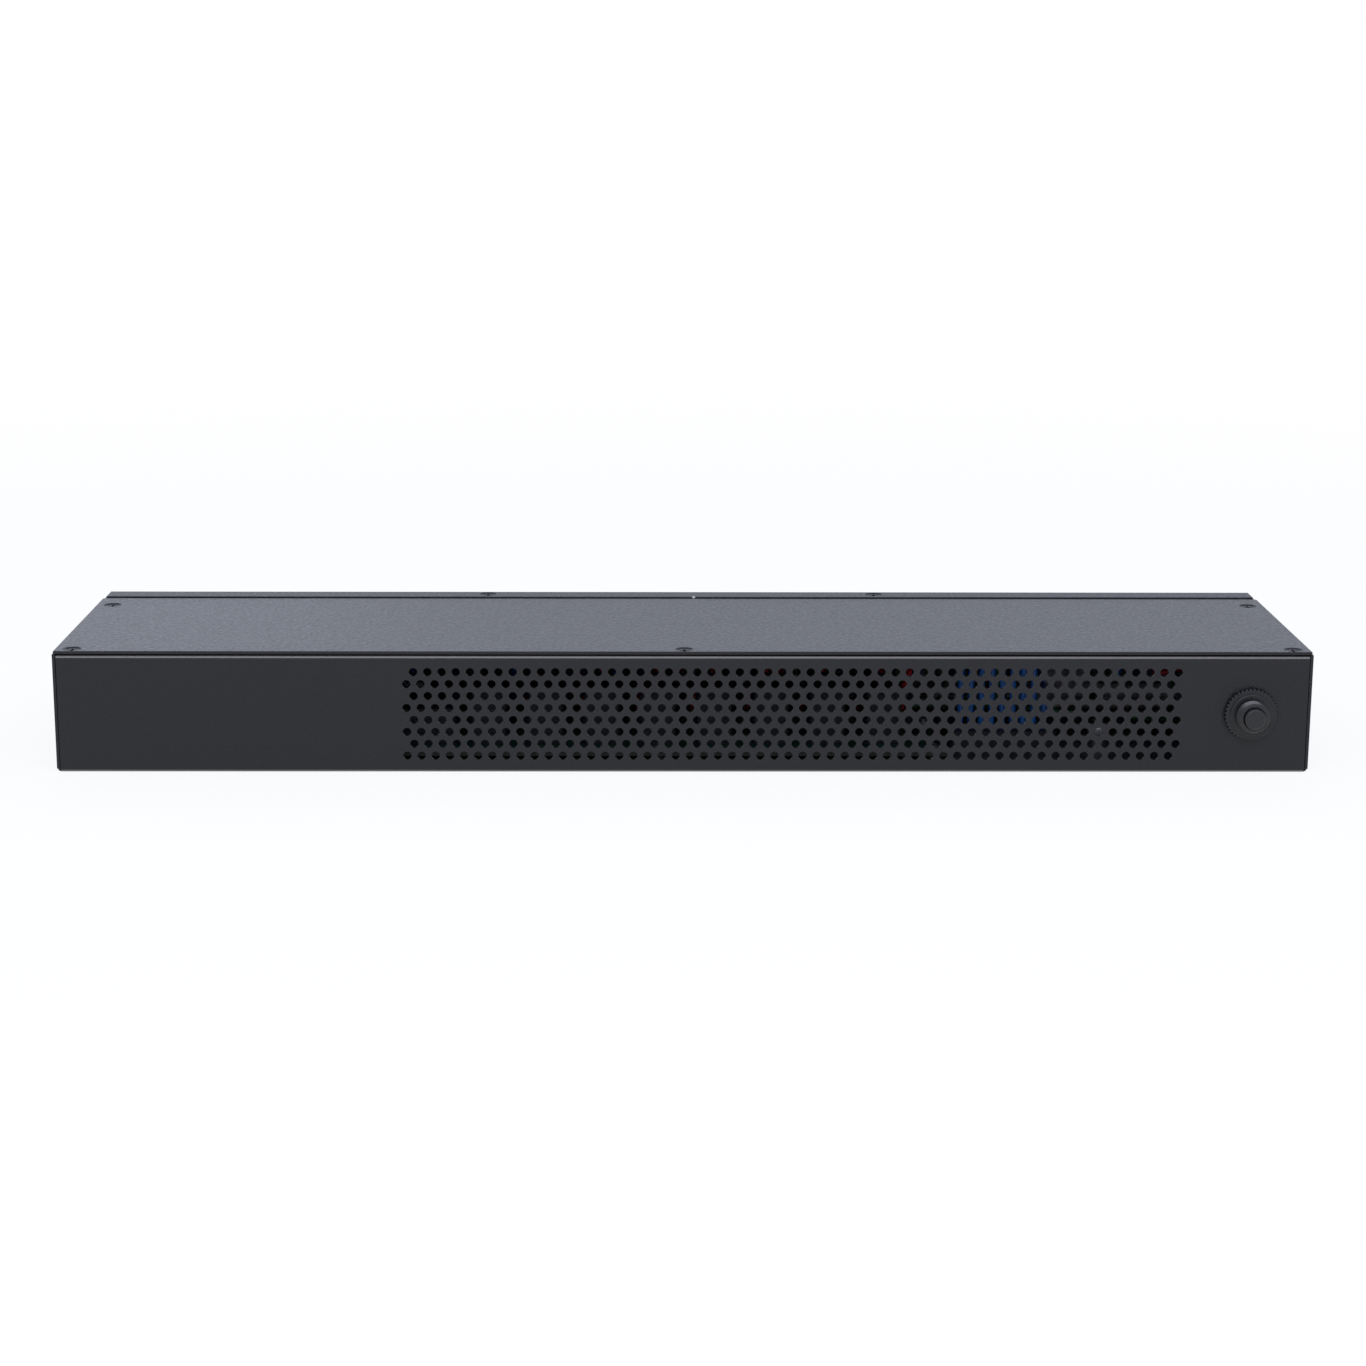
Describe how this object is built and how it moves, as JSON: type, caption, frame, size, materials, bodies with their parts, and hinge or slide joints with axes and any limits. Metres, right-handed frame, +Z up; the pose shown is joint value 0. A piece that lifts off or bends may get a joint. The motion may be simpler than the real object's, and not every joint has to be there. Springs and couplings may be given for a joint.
{
  "type": "rack power distribution unit",
  "caption": "Flat black sheet-metal rack box with a perforated wall and a push-to-reset breaker, outlets and a power inlet on its other long side.",
  "frame": {"origin": "middle of the tray's floor, on the surface it rests on", "axes": "+X along the case with the breaker at the +X end, +Y from the perforated wall towards the outlet panel, +Z up"},
  "size_m": [0.444, 0.1182, 0.0443],
  "materials": {
    "powder_coat": "black powder coat, fine texture, satin",
    "black_screw": "black plated steel",
    "breaker_plastic": "black moulded",
    "button_plastic": "black moulded, satin",
    "nut_black": "black moulded, knurled",
    "plated_steel": "zinc plated",
    "brass": "bare",
    "socket_plastic": "black moulded",
    "board": "dark green solder mask",
    "terminal_plastic": "black moulded",
    "header_plastic": "natural white moulded",
    "relay_plastic": "dark grey moulded",
    "block_plastic": "grey moulded",
    "sleeve_plastic": "black moulded",
    "wire_red": "red insulation",
    "wire_blue": "blue insulation",
    "wire_green": "green insulation",
    "cable_grey": "grey jacket"
  },
  "bodies": {
    "case": {"board_header": "header_plastic", "board_screws": "plated_steel", "board_standoffs": "plated_steel", "board_terminals": "terminal_plastic", "breaker_back_nut": "plated_steel", "breaker_body": "breaker_plastic", "breaker_face_nut": "nut_black", "breaker_terminals": "brass", "chassis_tray": "powder_coat", "control_cable": "cable_grey", "cover_screws": "black_screw", "earth_contacts": "brass", "earth_lugs": "plated_steel", "earth_nut": "plated_steel", "earth_stud": "plated_steel", "earth_wires": "wire_green", "flange_screws": "black_screw", "foot_screws": "black_screw", "inlet_pins": "brass", "jack_contacts": "brass", "line_contacts": "brass", "line_wires": "wire_red", "network_jack": "socket_plastic", "neutral_block": "block_plastic", "neutral_contacts": "brass", "neutral_wires": "wire_blue", "outlet_1": "socket_plastic", "outlet_2": "socket_plastic", "outlet_3": "socket_plastic", "outlet_4": "socket_plastic", "outlet_5": "socket_plastic", "outlet_6": "socket_plastic", "outlet_7": "socket_plastic", "outlet_8": "socket_plastic", "outlet_panel": "powder_coat", "power_inlet": "socket_plastic", "relay_1": "relay_plastic", "relay_2": "relay_plastic", "relay_3": "relay_plastic", "relay_4": "relay_plastic", "relay_5": "relay_plastic", "relay_6": "relay_plastic", "relay_7": "relay_plastic", "relay_8": "relay_plastic", "relay_board": "board", "supply_module": "relay_plastic", "terminal_sleeves": "sleeve_plastic", "top_cover": "powder_coat"},
    "button": {"reset_button": "button_plastic"}
  },
  "joints": [
    {"name": "reset_push", "type": "slide", "parent": "case", "child": "button", "axis": [0, -1, 0], "range_m": [0, 0.0035]}
  ]
}
